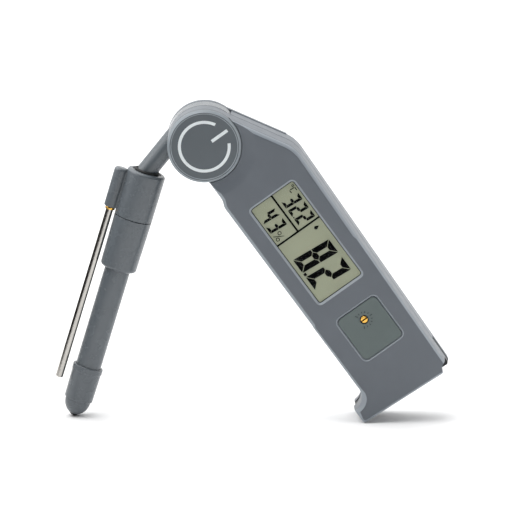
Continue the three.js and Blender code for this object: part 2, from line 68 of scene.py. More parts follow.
# -------- the two drawings
MM = 0.001
JOINTS = {joint["name"]: joint for joint in frame["joints"]}
HINGE = Vector(JOINTS["probe_fold"]["pos_m"])


def drawing(along):
    """The matrix from a drawing in millimetres to the row frame in metres."""
    up = Vector((-along.z, 0, along.x))
    turn = Matrix((along, Vector((0, 1, 0)), up)).transposed() * MM
    return Matrix.Translation((HINGE.x, 0, HINGE.z)) @ turn.to_4x4()


BODY = drawing(Vector(JOINTS["tray_slide"]["axis"]))
PROBE = drawing(Vector(JOINTS["electrode_pull"]["axis"]))

# -------- depths, and sizes of the hinge
FRONT = -13.0
BACK = 13.0
PARTING = -2.0
SEAM = 0.15  # half of the gap between the two shells
SEAM_EDGE = 0.25  # broken edge along the joint
WALL = 2.0
GAP = 0.3
DISC_R = 17.0
DRUM_CLEAR_R = 17.5
FRONT_EAR_BACK = -2.2
REAR_EAR_FRONT = 8.4
REAR_EAR_REACH = 21.0
EAR_EDGE = 0.3
DRUM_FRONT = -1.7
DRUM_BACK = 7.9
COVER_BACK = -10.0
COVER_SUNK = 0.3  # how far the middle of the cover lies behind its rim
COVER_RIM = (1.9, 1.5, 1.1)  # foot, inner edge and outer edge of the rim, in from DISC_R
COVER_SLOPE = 1.0  # depth of the rim's outer slope
COVER_EDGE_DEPTH = 1.5  # how deep the painted highlight on the cover's edge reaches
EMBLEM_R = 11.4
EMBLEM_WIDTH = 1.4
EMBLEM_ARC = (118, 422)  # degrees, with a gap round the stroke
STROKE = (4.2, 13.0, 1.5)  # from, to and width
AXLE_R = 3.9
AXLE_PLAY = 0.1
AXLE_HEAD_ROOM = (6.4, -7.6)  # radius and back of the room for the axle's head
AXLE_SCREW_ROOM = (5.6, 10.4)  # radius and front of the room for the axle's screw
DIP_INNER_R = 17.3  # the smooth hollow of the face round the cover
DIP_OUTER_R = 25.0
DIP_DEPTH = 1.0

# -------- side view of the body
BODY_END = 149.0
END_SLANT = 0.05
NECK_LOW = -8.6
NECK_END = 25.5  # where the low side starts to slope from the neck to the body
LOW_START = 29.0  # where that slope ends
LOW_EDGE = -10.0
HIGH_EDGE = 33.4
HIGH_EDGE_X = 36.0  # where HIGH_EDGE is measured
HIGH_TAPER = 0.0297
SHOULDER_ANGLE = math.radians(30)
SHOULDER_R = 16.6
HOOK_EDGE = -17.6
HOOK_LENGTH = 7.8
HINGE_SIDE = -7.0
LOW_ROUND = 5.0
HOOK_ROUND = 7.6
HOOK_TIP_ROUND = 0.8
END_ROUND = 1.2
SHOULDER_ROUND = 18.0
MIDDLE_Z = 10.0  # between the low side and the high side

# -------- edges of the shells
DRAFT = 0.03  # how much both shells narrow per millimetre away from the joint
EDGE_STEPS = 5
BACK_EDGE = 1.8  # round of the edge of the back
SOFT_EDGE = 2.2  # round of the face edge near the hinge
CRISP_EDGE = 0.9  # chamfer of the face edge near the open end
STEP_HIGH = 75.0  # where the high side changes from round to chamfer
STEP_LOW = 98.0  # where the low side changes
STEP_HALF = 0.8  # half of the length of that change
HOOK_EDGE_EXTRA = 0.7  # how much wider the chamfer is round the hook
WIDE_START = 132.0  # the wider chamfer lies between these two distances
WIDE_END = 146.0
WIDE_TOP = -8.0  # and below this height

# -------- openings and hollows
# Rectangles are (x from, x to, z from, z to, corner radius).
WINDOW = (36.6, 90.9, -0.7, 23.4, 1.4)
WINDOW_FLARE = 0.9
LABEL = (102.2, 125.0, 0.7, 22.0, 2.3)
LABEL_DEPTH = 0.8
LABEL_FLARE = 0.6
TRIMMER = (108.8, 11.6)
TRIMMER_HOLE_R = 2.4
TRIMMER_HEAD_R = 1.65
TRIMMER_BACK = -10.95
TRIMMER_SLOT = (0.32, 0.8)  # half of the width, and the depth behind the face
LABEL_HOLE_R = 2.1
TICKS = 11
TICK_START = -35  # degrees
TICK_STEP = 25
TICK_INNER_R = 3.1
TICK_OUTER_R = 3.9
TICK_LONG_R = 4.4
TICK_WIDTH = 0.3
# The finger notch at the open end, as (x, z).
NOTCH = ((145.6, 40), (145.6, 32.4), (148, 27.2), (160, 22.2), (160, 40))
INSIDE = -5.0  # a depth inside the front shell, where the cutters of its openings end
DISPLAY_ROOM = (34.9, 92.6, -11.8, INSIDE, -2.5, 25.1)  # x, y and z, from and to
HINGE_WALL_R = 27.0  # the front wall is thicker round the cover
HINGE_WALL_BACK = -8.0
PAST_JOINT = 5.0  # how far the cutters of the cavities reach past the middle depth
HOOK_SOLID_X = 130.0  # from here on nothing below the low edge is hollow
FRONT_END_WALL = 143.0
REAR_END_WALL = 138.0
TRAY_ROOM_X = 137.0  # from here on the rear shell makes room for the tray's end
TRAY_ROOM_BACK = 5.3
PAST_X = 200.0  # how far the other cutters reach, past the body
PAST_Y = 20.0
PAST_Z = 60.0

# -------- screws
CASE_SCREWS = ((28, 0), (28, 26), (98, -4), (98, 25.5))
SLEEVE_R = 3.6
SLEEVE_FRONT = -5.5
SHANK_HOLE_R = 1.4
HEAD_HOLE_R = 2.7
HEAD_HOLE_FRONT = 6.0
SLOT_REACH = 0.62  # of the cross recess, as a share of the head's radius
SLOT_HALF_WIDTH = 0.13
CASE_SCREW = dict(head_r=2.4, head_back=7.9, head_height=1.6, shank_r=0.9, shank_end=-9.5, slot_depth=0.7)
AXLE_SCREW = dict(head_r=5, head_back=12.4, head_height=1.7, shank_r=1.4, shank_end=3.4, slot_depth=1.0)

# -------- display
PANEL = (35.4, 92.1, -2, 24.6, 0.6)
PANEL_FRONT = -11.75
PANEL_BACK = -8.1
SEGMENTS = {"2": "abged", "3": "abgcd", "4": "fgbc", "8": "abcdefg"}
SLANT = 0.085
BIG = (7.5, 19.1, 2.7, 0.22)  # width, height, stroke and gap of a digit
SMALL = (3.8, 8.8, 1.25, 0.1)
BIG_Z = 1.4
SMALL_HIGH_Z = 13.1
SMALL_LOW_Z = 0.4
SMALL_PITCH = 4.95
RULE_X = 57.6  # the two rules that divide the display
RULE_Z = 11.2
RULE_WIDTH = 0.85

# The front and the back of each printed layer, and of the painted shade round the display.
DISC_PRINT = (FRONT + 0.25, FRONT + 0.32)
LABEL_PRINT = (FRONT + 0.1, FRONT + 0.16)
DIGIT_PRINT = (PANEL_FRONT - 0.09, PANEL_FRONT - 0.02)
# The dark line round the display is painted shade, not print.
BORDER_SHADE_LAYER = (PANEL_FRONT - 0.04, PANEL_FRONT + 0.05)

# -------- tray and cells
TRAY = (106.5, 140, -5.8, 26.3, 0.6)
TRAY_FRONT = -1.6
TRAY_BACK = 5.0
TRAY_END_X = 138.2  # from here on the tray follows the outline of the body
TRAY_END_INSET = 0.5
CELLS = ((114.2, 3.7), (114.2, 16.8), (127.3, 3.7), (127.3, 16.8))
CELL_R = 5.8
CELL_CAP_R = 4.75  # the raised face of a cell
CELL_CAP_HEIGHT = 0.35

# -------- probe
PROBE_Y = 3.1
PROBE_LINE = -21.0
ROD_LINE = -32.5
AXIS = (PROBE_Y, PROBE_LINE)
ROD_AXIS = (PROBE_Y, ROD_LINE)
NECK_BEND = math.radians(22)
NECK_OFFSET = 11.5  # how far the neck's line passes from the hinge
NECK_LENGTH = 28.6
NECK_R = 4.6
NECK_ROOT_R = 4.7
ELBOW_X = 23.0
ELBOW_DROP = 0.2
NECK_END_X = 34.0
WASHER_ROOM = (8.6, 6.5)  # radius and front of the washer's room
MAGNET = (11.5, 4.0)
MAGNET_ROOM = (2.3, 1.5)  # radius and back of the magnet's room

# Turned shapes of the probe, as corners (along, radius, round).
NECK_RING = ((21.2, 4.9, 0), (21.2, 5.7, 0.2), (22.0, 6.3, 0.2), (22.0, 4.9, 0))
COLLAR = ((22, 0, 0), (22, 9, 1.3), (44.45, 8.9, 0.2), (44.45, 0, 0))
ROD_BOSS = ((23.4, 0, 0), (23.4, 3.3, 1.4), (42.4, 3.2, 0.5), (42.4, 0, 0))
ROD = ((30.5, 0, 0), (30.5, 1.75, 0.1), (126.7, 1.75, 0.9), (126.7, 0, 0))
FERRULE = ((42.6, 1.95, 0), (42.6, 2.3, 0.12), (43.7, 2.3, 0.12), (43.7, 1.95, 0))
ELECTRODE_HEAD = (
    (36.4, 0, 0), (36.4, 6, 0.3), (44.75, 6, 0), (44.75, 8.9, 0.2),
    (69.5, 8.5, 1.5), (69.5, 6.15, 0), (54, 6.15, 0), (54, 0, 0),
)
STEM = ((54.4, 4.8, 0), (54.4, 6.05, 0), (126.6, 5.9, 0.4), (126.6, 4.8, 0))

# Holes of the collar, as plain profiles (along, radius), and the web beside the boss.
NECK_HOLE = ((20, 0), (20, 7.4), (22.6, 6.6), (23, 5.8), (34.4, 4.9), (34.4, 0))
PLUG_HOLE = ((35.4, 0), (35.4, 6.3), (60, 6.3), (60, 0))
ROD_HOLE = ((30, 0), (30, 1.9), (60, 1.9), (60, 0))
WEB = (24.6, 42.3, PROBE_Y - 2.4, PROBE_Y + 2.4, ROD_LINE, PROBE_LINE - 6)

# The cap: its straight side up to the shoulder, its dome and its tip.
CAP_SIDE = ((117.7, 6.1, 0), (117.7, 7.1, 0.45), (120.1, 7.1, 0.5), (120.7, 6.85, 0.4))
CAP_SHOULDER = 134.3
CAP_SHOULDER_R = 6.6
DOME_R = 6.0
NOSE_R = 2.3
NOSE_PAST_TIP = 1.4  # how far the dome reaches past the centre of the tip's ball
TIP_R = 2.6
TIP_STALK_R = 1.8


# -------- outlines
def rounded(corners, steps=10):
    """The points of a closed outline through corners (a, b, radius), each rounded by an arc."""
    points = []
    for i, (a, b, radius) in enumerate(corners):
        corner = Vector((a, b))
        if radius == 0:
            points.append(corner)
            continue
        back = (Vector(corners[i - 1][:2]) - corner).normalized()
        ahead = (Vector(corners[(i + 1) % len(corners)][:2]) - corner).normalized()
        half = back.angle(ahead) / 2
        centre = corner + (back + ahead).normalized() * (radius / math.sin(half))
        start = corner + back * (radius / math.tan(half)) - centre
        sweep = -math.copysign(math.pi - 2 * half, back.cross(ahead))
        for k in range(steps + 1):
            points.append(centre + Matrix.Rotation(sweep * k / steps, 2) @ start)
    return points


def rectangle(x0, x1, z0, z1, radius, inset=0.0):
    """The points of an upright rectangle with round corners."""
    r = max(radius - inset, 0.05)
    low_x, high_x, low_z, high_z = x0 + inset, x1 - inset, z0 + inset, z1 - inset
    return rounded([(low_x, low_z, r), (high_x, low_z, r), (high_x, high_z, r), (low_x, high_z, r)], 8)


def end_at(z):
    """Where the slanted open end lies at a height."""
    return BODY_END + (z - HOOK_EDGE) * END_SLANT


def high_edge_at(x, inset=0.0):
    """The height of the high side, which falls towards the open end."""
    return HIGH_EDGE - (x - HIGH_EDGE_X) * HIGH_TAPER - inset


def shoulder_at(x, inset=0.0):
    """The height of the sloping shoulder next to the hinge."""
    return (SHOULDER_R - inset + x * math.sin(SHOULDER_ANGLE)) / math.cos(SHOULDER_ANGLE)


def body_outline(inset=0.0):
    """The side view of the body. Each point moves in a straight line as the inset grows."""
    low = LOW_EDGE + inset
    hook = HOOK_EDGE + inset
    hook_x = BODY_END - HOOK_LENGTH + inset
    rise = high_edge_at(0, inset) - shoulder_at(0, inset)
    shoulder_x = rise / (math.tan(SHOULDER_ANGLE) + HIGH_TAPER)
    high_end = high_edge_at(BODY_END, inset)
    corners = [
        (HINGE_SIDE, NECK_LOW + inset, 0),
        (NECK_END, NECK_LOW + inset, LOW_ROUND),
        (LOW_START, low, LOW_ROUND),
        (STEP_LOW - STEP_HALF, low, 0),
        (STEP_LOW + STEP_HALF, low, 0),
        (hook_x, low, HOOK_ROUND),
        (hook_x, hook, HOOK_TIP_ROUND),
        (end_at(hook) - inset, hook, END_ROUND),
        (end_at(high_end) - inset, high_end, END_ROUND),
        (STEP_HIGH + STEP_HALF, high_edge_at(STEP_HIGH + STEP_HALF, inset), 0),
        (STEP_HIGH - STEP_HALF, high_edge_at(STEP_HIGH - STEP_HALF, inset), 0),
        (shoulder_x, high_edge_at(shoulder_x, inset), SHOULDER_ROUND),
        (HINGE_SIDE, shoulder_at(HINGE_SIDE, inset), 0),
    ]
    return rounded(corners, 12)


# -------- meshes in a drawing
def temporary(bm):
    """An object that holds the mesh, in the scene, until it is placed or used up."""
    bmesh.ops.recalc_face_normals(bm, faces=bm.faces)
    mesh = bpy.data.meshes.new("shape")
    bm.to_mesh(mesh)
    bm.free()
    made = bpy.data.objects.new("shape", mesh)
    bpy.context.scene.collection.objects.link(made)
    return made


def loft(rings, capped=True):
    """A closed skin through rings of equally many points. Uncapped rings close on themselves."""
    bm = bmesh.new()
    loops = [[bm.verts.new(point) for point in ring] for ring in rings]
    pairs = list(zip(loops, loops[1:]))
    if not capped:
        pairs.append((loops[-1], loops[0]))
    for near, far in pairs:
        for i in range(len(near)):
            j = (i + 1) % len(near)
            bm.faces.new((near[i], near[j], far[j], far[i]))
    if capped:
        bm.faces.new(loops[0])
        bm.faces.new(loops[-1])
    return temporary(bm)


def prism(outline, steps):
    """A loft of one outline over steps of (inset, depth)."""
    rings = []
    for inset, depth in steps:
        rings.append([(x, depth, z) for x, z in outline(inset)])
    return loft(rings)


def quarter(size, steps=4):
    """Steps of (inset, depth) round a quarter circle, from a flat face to its side."""
    angles = [math.pi / 2 * k / steps for k in range(steps + 1)]
    return [(size * (1 - math.sin(a)), size * (1 - math.cos(a))) for a in angles]


def rounded_slab(outline, y0, y1, edge0, edge1):
    """A slab of an outline between two depths with its two face edges rounded."""
    front = [(inset, y0 + depth) for inset, depth in quarter(edge0)]
    back = [(inset, y1 - depth) for inset, depth in reversed(quarter(edge1))]
    return prism(outline, front + back)


def plate(x0, x1, z0, z1, radius, y0, y1, edge):
    """A flat piece with round corners and softened face edges."""
    return rounded_slab(lambda inset: rectangle(x0, x1, z0, z1, radius, inset), y0, y1, edge, edge)


def flared(x0, x1, z0, z1, radius, face, bottom, flare):
    """A cutter for an opening in the front face, with a chamfered lip of the given size."""
    broken = 0.12
    steps = [
        (-flare - broken, face - 1),
        (-flare - broken, face),
        (-flare, face + broken / 2),
        (-broken / 2, face + flare),
        (0, face + flare + broken),
        (0, bottom),
    ]
    return prism(lambda inset: rectangle(x0, x1, z0, z1, radius, inset), steps)


def lathe(profile, centre, axis="X", sides=64):
    """A turned skin. The profile is (distance along the axis, radius), with its ends on the
    axis, or a closed loop away from it. The centre is the axis's place in the other two."""
    bm = bmesh.new()
    solid = profile[0][1] == 0
    loops = []
    for along, radius in profile:
        count = sides if radius > 0 else 1
        loop = []
        for i in range(count):
            angle = 2 * math.pi * i / sides
            p = centre[0] + radius * math.cos(angle)
            q = centre[1] + radius * math.sin(angle)
            loop.append(bm.verts.new((along, p, q) if axis == "X" else (p, along, q)))
        loops.append(loop)
    pairs = list(zip(loops, loops[1:]))
    if not solid:
        pairs.append((loops[-1], loops[0]))
    for near, far in pairs:
        for i in range(sides):
            j = (i + 1) % sides
            if len(near) == 1:
                bm.faces.new((near[0], far[i], far[j]))
            elif len(far) == 1:
                bm.faces.new((near[i], near[j], far[0]))
            else:
                bm.faces.new((near[i], near[j], far[j], far[i]))
    return temporary(bm)


def turned(corners, centre, axis="X", sides=64, steps=5):
    """A lathe of a rounded profile, given as corners (along, radius, round)."""
    points = [(p.x, max(p.y, 0.0)) for p in rounded(corners, steps)]
    return lathe(points, centre, axis, sides)


def pin(x, z, radius, y0, y1, sides=64):
    """A plain cylinder through the depth."""
    return lathe([(y0, 0), (y0, radius), (y1, radius), (y1, 0)], (x, z), "Y", sides)


def block(x0, x1, y0, y1, z0, z1):
    """A plain box."""
    corners = [(x0, z0), (x1, z0), (x1, z1), (x0, z1)]
    return loft([[(x, y, z) for x, z in corners] for y in (y0, y1)])


def combine(target, operation, tools):
    """Applies a boolean operation for each tool, and uses the tools up."""
    for tool in tools:
        modifier = target.modifiers.new("combine", "BOOLEAN")
        modifier.operation = operation
        modifier.solver = "EXACT"
        modifier.object = tool
    bpy.context.view_layer.update()
    evaluated = target.evaluated_get(bpy.context.evaluated_depsgraph_get())
    mesh = bpy.data.meshes.new_from_object(evaluated)
    target.modifiers.clear()
    target.data = mesh
    for tool in tools:
        bpy.data.objects.remove(tool)
    return target


def cut(target, *tools):
    """The target without the tools."""
    return combine(target, "DIFFERENCE", tools)


def join(target, *others):
    """The target and the others as one skin."""
    return combine(target, "UNION", others)


def place(made, name, matrix, material, body, nodes=(), sharp=35):
    """Names a piece, moves it from its drawing into the row frame and lets it ride on a body.
    Edges over `sharp` degrees stay sharp."""
    made.name = name
    made.data.name = name
    made.data.transform(matrix)
    made.data.shade_smooth()
    made.data.set_sharp_from_angle(angle=math.radians(sharp))
    normals = made.modifiers.new("normals", "WEIGHTED_NORMAL")
    normals.keep_sharp = True
    made.data.materials.clear()
    made.data.materials.append(material)
    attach(made, body)
    if nodes:
        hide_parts(*nodes)
    return made


def paint_edge_highlight(made, material, depth):
    """Gives the sloping faces near the front face a lighter material: a painted highlight along the
    edges.
    """
    made.data.materials.append(material)
    for face in made.data.polygons:
        near = face.center.y < (FRONT + depth) * MM
        sloping = 0.25 < -face.normal.y < 0.93
        if near and sloping:
            face.material_index = 1


# -------- materials
def linear(value):
    """One channel of a screen colour, 0 to 255, as linear light."""
    part = value / 255
    return part / 12.92 if part <= 0.04045 else ((part + 0.055) / 1.055) ** 2.4


def colour(red, green, blue):
    """A screen colour as the shader's linear colour."""
    return (linear(red), linear(green), linear(blue), 1.0)


class Finish:
    """A procedural material that is built up node by node."""

    def __init__(self, name, base, roughness, metallic=0.0):
        self.material = bpy.data.materials.new(name)
        self.material.use_nodes = True
        self.nodes = self.material.node_tree.nodes
        self.links = self.material.node_tree.links
        self.shader = self.nodes["Principled BSDF"]
        self.base = base
        self.roughness = roughness
        self.shader.inputs["Base Color"].default_value = base
        self.shader.inputs["Roughness"].default_value = roughness
        self.shader.inputs["Metallic"].default_value = metallic
        self.place = self.nodes.new("ShaderNodeTexCoord").outputs["Object"]

    def stretched(self, matrix, factors):
        """Lays the textures out in a drawing, each axis scaled by a factor."""
        turn = matrix.to_3x3().normalized().transposed().to_euler()
        rotate = self.nodes.new("ShaderNodeMapping")
        rotate.inputs["Rotation"].default_value = turn
        self.links.new(self.place, rotate.inputs["Vector"])
        scale = self.nodes.new("ShaderNodeMapping")
        scale.inputs["Scale"].default_value = factors
        self.links.new(rotate.outputs["Vector"], scale.inputs["Vector"])
        self.place = scale.outputs["Vector"]
        return self

    def noise(self, size, detail=2.0):
        """Noise with features of about the given size in millimetres."""
        node = self.nodes.new("ShaderNodeTexNoise")
        node.inputs["Scale"].default_value = 1 / (size * MM)
        node.inputs["Detail"].default_value = detail
        self.links.new(self.place, node.inputs["Vector"])
        return node.outputs["Fac"]

    def ranged(self, value, low, high):
        """A noise value, which mostly lies between 0.3 and 0.7, spread between two numbers."""
        node = self.nodes.new("ShaderNodeMapRange")
        node.inputs["From Min"].default_value = 0.3
        node.inputs["From Max"].default_value = 0.7
        node.inputs["To Min"].default_value = low
        node.inputs["To Max"].default_value = high
        self.links.new(value, node.inputs["Value"])
        return node.outputs["Result"]

    def mottled(self, size, amount):
        """Varies the colour by an amount, up and down."""
        node = self.nodes.new("ShaderNodeMix")
        node.data_type = "RGBA"
        node.inputs["A"].default_value = [c * (1 - amount) for c in self.base[:3]] + [1]
        node.inputs["B"].default_value = [c * (1 + amount) for c in self.base[:3]] + [1]
        self.links.new(self.ranged(self.noise(size), 0, 1), node.inputs["Factor"])
        self.links.new(node.outputs["Result"], self.shader.inputs["Base Color"])
        return self

    def uneven(self, size, amount):
        """Varies the roughness by an amount, up and down."""
        value = self.ranged(self.noise(size, 3), self.roughness - amount, self.roughness + amount)
        self.links.new(value, self.shader.inputs["Roughness"])
        return self

    def grain(self, size, height, strength=0.5):
        """A fine surface texture of a height in millimetres."""
        node = self.nodes.new("ShaderNodeBump")
        node.inputs["Distance"].default_value = height * MM
        node.inputs["Strength"].default_value = strength
        self.links.new(self.noise(size, 1), node.inputs["Height"])
        self.links.new(node.outputs["Normal"], self.shader.inputs["Normal"])
        return self

    def set(self, **values):
        """Sets sockets of the shader by name, with _ for each space."""
        for name, value in values.items():
            self.shader.inputs[name.replace("_", " ")].default_value = value
        return self


def moulded(name, base, roughness, grain_height=0.012):
    """Moulded plastic: slightly mottled, with a fine spark-eroded grain."""
    finish = Finish(name, base, roughness)
    return finish.mottled(9, 0.025).uneven(3, 0.04).grain(0.35, grain_height).material


CASE = moulded("case_grey", colour(96, 102, 109), 0.42)
# The lighter grey of the case's edges is a painted highlight; its finish is also smoother, with a finer
# grain.
CASE_EDGE_HIGHLIGHT = moulded("case_edge_painted_highlight", colour(140, 147, 154), 0.32, 0.004)
COVER = moulded("cover_grey", colour(88, 95, 100), 0.42)
# The lighter grey of the cover's rim is a painted highlight; its finish is also smoother, with a finer
# grain.
COVER_EDGE_HIGHLIGHT = moulded("cover_edge_painted_highlight", colour(136, 144, 150), 0.32, 0.004)
glossy_finish = Finish("probe_grey", colour(92, 98, 103), 0.26)
glossy_finish.mottled(9, 0.025).uneven(5, 0.04).grain(2.5, 0.006)
GLOSSY_GREY = glossy_finish.material
BLACK_PLASTIC = moulded("black_plastic", colour(24, 25, 27), 0.45)
RUBBER = moulded("black_rubber", colour(20, 21, 22), 0.7, 0.02)
INK_LIGHT = Finish("ink_light", colour(222, 228, 230), 0.5).mottled(1.5, 0.02).uneven(1, 0.05).material
INK_DARK = Finish("ink_dark", colour(30, 34, 34), 0.5).mottled(1.5, 0.05).uneven(1, 0.05).material
# Black for the printed digits, and for the dark line round the display, which is painted shade.
LCD_INK_AND_SHADE = Finish("lcd_ink_and_border_shade", colour(8, 9, 10), 0.5).mottled(4, 0.02).set(Specular_IOR_Level=0.0).material
LCD_GLASS = Finish("lcd_glass", colour(158, 163, 138), 0.35).mottled(14, 0.02).uneven(4, 0.04).material
LABEL_FILM = moulded("label_film", colour(92, 103, 102), 0.5, 0.01)
WHITE_PLASTIC = moulded("white_plastic", colour(225, 225, 220), 0.5)
BAY_GREY = moulded("bay_grey", colour(130, 134, 138), 0.5)
CONTACT_RUBBER = moulded("contact_rubber", colour(214, 140, 156), 0.6)
CHIP = moulded("chip_black", colour(28, 28, 30), 0.55)
TRIMMER_BLUE = moulded("trimmer_blue", colour(45, 96, 170), 0.35)
board_finish = Finish("board_green", colour(30, 92, 58), 0.4)
board_finish.mottled(1.2, 0.25).uneven(2, 0.08).grain(0.6, 0.02)
BOARD = board_finish.material
REED = Finish("reed_glass", colour(158, 182, 160), 0.12).mottled(3, 0.05).uneven(2, 0.03).material


def metal(name, base, roughness, matrix, factors, grain_height=0.003):
    """Worked metal with fine lines along one direction of a drawing."""
    finish = Finish(name, base, roughness, 1.0).stretched(matrix, factors)
    return finish.mottled(1.2, 0.04).uneven(0.8, 0.05).grain(0.4, grain_height).material


STEEL = metal("steel_rod", colour(178, 175, 170), 0.16, PROBE, (0.04, 1, 1))
STEEL_PLAIN = metal("steel", colour(196, 198, 200), 0.28, BODY, (1, 1, 1))
NICKEL = metal("nickel", colour(205, 202, 192), 0.24, BODY, (1, 0.1, 1))
BRASS = metal("brass", colour(226, 178, 88), 0.24, BODY, (1, 1, 0.2))
# A darker brass for the faces in the trimmer's slot: painted shade.
BRASS_SLOT_SHADE = metal("brass_painted_slot_shade", colour(96, 62, 22), 0.5, BODY, (1, 1, 1))

lens_finish = Finish("lens_clear", (0.03, 0.03, 0.03, 1), 0.06)
lens_finish.uneven(6, 0.01)
lens_finish.set(Alpha=0.03)
LENS_CLEAR = lens_finish.material
glass_finish = Finish("probe_glass", (0.94, 0.98, 0.98, 1), 0.04)
glass_finish.uneven(5, 0.02)
glass_finish.set(Transmission_Weight=1.0, IOR=1.47)
PROBE_GLASS = glass_finish.material


# -------- front shell
def smooth(value):
    """A share between 0 and 1 that starts and ends gently."""
    share = min(max(value, 0.0), 1.0)
    return share * share * (3 - 2 * share)


def crispness(x, z):
    """0 where the face edge of the body is round, 1 where it is a chamfer."""
    step = STEP_HIGH if z > MIDDLE_Z else STEP_LOW
    return smooth((x - step + STEP_HALF) / (2 * STEP_HALF))


def chamfer_at(x, z):
    """The size of the chamfer, which is wider along the hook."""
    wide = smooth((x - WIDE_START) / 5) * smooth((WIDE_TOP - z) / 2) * smooth((WIDE_END - x) / 4)
    return CRISP_EDGE + HOOK_EDGE_EXTRA * wide


def chamfer(size):
    """Steps of (inset, depth) over a chamfer whose two edges are slightly broken."""
    corners = [(size + 1, 0, 0), (size, 0, 0.3), (0, size, 0.3), (0, size + 1, 0)]
    return rounded(corners, 2)[1:-1]


def shell_rings(face, inward, edge, parting):
    """Rings of a shell from its outer face to the joint. `inward` is the depth's direction, and
    `edge` is the round of the face edge, or None where a round changes into a chamfer."""
    plain = body_outline(0)
    moved = body_outline(1)
    steps_of = []
    for x, z in plain:
        share = 0.0 if edge else crispness(x, z)
        soft = quarter(edge or SOFT_EDGE, EDGE_STEPS)
        crisp = chamfer(chamfer_at(x, z))
        steps_of.append([Vector(s).lerp(Vector(c), share) for s, c in zip(soft, crisp)])
    depth_left = abs(parting - face)
    rings = []
    for k in range(EDGE_STEPS + 1):
        ring = []
        for start, end, steps in zip(plain, moved, steps_of):
            inset, depth = steps[k]
            inset += DRAFT * (depth_left - depth)
            point = start.lerp(end, inset)
            ring.append((point.x, face + inward * depth, point.y))
        rings.append(ring)
    for inset, depth in ((0.0, SEAM_EDGE), (SEAM_EDGE, 0.0)):
        ring = []
        for start, end in zip(plain, moved):
            point = start.lerp(end, inset)
            ring.append((point.x, parting - inward * depth, point.y))
        rings.append(ring)
    return rings


def hinge_dip():
    """A cutter for the smooth hollow of the face round the hinge cover."""
    steps = 12
    profile = [(FRONT - 1, 0), (FRONT - 1, DIP_OUTER_R + 0.4)]
    for k in range(steps + 1):
        share = k / steps
        fall = DIP_DEPTH * (1 - math.cos(math.pi * share)) / 2
        profile.append((FRONT - 0.02 + fall, DIP_OUTER_R - (DIP_OUTER_R - DIP_INNER_R) * share))
    profile.append((COVER_BACK + GAP, DIP_INNER_R))
    profile.append((COVER_BACK + GAP, 0))
    return lathe(profile, (0, 0), "Y", 96)


def finger_notch():
    """A cutter for the notch in which a finger reaches the end of the tray."""
    return loft([[(x, y, z) for x, z in NOTCH] for y in (FRONT - 1, 0)])


def front_cavity():
    """The hollow of the front shell."""
    steps = [(0, FRONT + WALL), (0, PAST_JOINT)]
    return cut(
        prism(lambda inset: body_outline(WALL + inset), steps),
        pin(0, 0, DRUM_CLEAR_R + WALL, -PAST_Y, PAST_Y),
        pin(0, 0, HINGE_WALL_R, -PAST_Y, HINGE_WALL_BACK),
        block(HOOK_SOLID_X, PAST_X, -PAST_Y, PAST_Y, -PAST_Z, LOW_EDGE + WALL),
        block(FRONT_END_WALL, PAST_X, -PAST_Y, PAST_Y, -PAST_Z, PAST_Z),
    )


def front_shell():
    """The front shell with its ear, its two openings, the holes and the notch."""
    shell = loft(shell_rings(FRONT, 1, None, PARTING - SEAM))
    ear_front = COVER_BACK + GAP
    ear = turned(
        [
            (ear_front, 0, 0),
            (ear_front, DISC_R, EAR_EDGE),
            (FRONT_EAR_BACK, DISC_R, EAR_EDGE),
            (FRONT_EAR_BACK, 0, 0),
        ],
        (0, 0),
        "Y",
        96,
    )
    x0, x1, z0, z1, radius = LABEL
    recess = (x0 - GAP, x1 + GAP, z0 - GAP, z1 + GAP, radius)
    shell = cut(shell, hinge_dip())
    shell = join(shell, ear)
    shell = cut(
        shell,
        front_cavity(),
        flared(*WINDOW, FRONT, INSIDE, WINDOW_FLARE),
        block(*DISPLAY_ROOM),
        flared(*recess, FRONT, FRONT + LABEL_DEPTH, LABEL_FLARE),
        pin(*TRIMMER, TRIMMER_HOLE_R, FRONT - 1, INSIDE),
        finger_notch(),
        pin(0, 0, AXLE_R + AXLE_PLAY, -PAST_Y, PAST_Y),
        pin(0, 0, AXLE_HEAD_ROOM[0], -PAST_Y, AXLE_HEAD_ROOM[1]),
    )
    place(shell, "front_case", BODY, CASE, "meter_body", ["front_shell"], 30)
    # The chamfers and lips near the face get the lighter grey as a painted highlight.
    paint_edge_highlight(shell, CASE_EDGE_HIGHLIGHT, CRISP_EDGE + HOOK_EDGE_EXTRA)


def hinge_cover():
    """The round cover of the hinge: a flat middle inside a low rim with a rounded edge."""
    middle = FRONT + COVER_SUNK
    foot, inner, outer = COVER_RIM
    corners = [
        (middle, 0, 0),
        (middle, DISC_R - foot, 0.2),
        (FRONT, DISC_R - inner, 0.3),
        (FRONT, DISC_R - outer, 0.3),
        (FRONT + COVER_SLOPE, DISC_R, 0.5),
        (COVER_BACK, DISC_R, 0.2),
        (COVER_BACK, 0, 0),
    ]
    cover = turned(corners, (0, 0), "Y", 128, 6)
    place(cover, "hinge_disc", BODY, COVER, "meter_body", ["hinge_cover"], 40)
    # The sloping faces of the cover's rim get the lighter grey as a painted highlight.
    paint_edge_highlight(cover, COVER_EDGE_HIGHLIGHT, COVER_EDGE_DEPTH)


# -------- rear shell
def ear_outline(inset=0.0):
    """The side view of the rear ear, from its round end to where it joins the shell."""
    radius = DISC_R - inset
    line = SHOULDER_R - inset
    start = math.pi / 2 + SHOULDER_ANGLE - math.acos(line / radius)
    end = 2 * math.pi - math.asin((-NECK_LOW - inset) / radius)
    points = [
        Vector((REAR_EAR_REACH, NECK_LOW + inset)),
        Vector((REAR_EAR_REACH, shoulder_at(REAR_EAR_REACH, inset))),
    ]
    steps = 60
    for k in range(steps + 1):
        angle = start + (end - start) * k / steps
        points.append(Vector((radius * math.cos(angle), radius * math.sin(angle))))
    return points


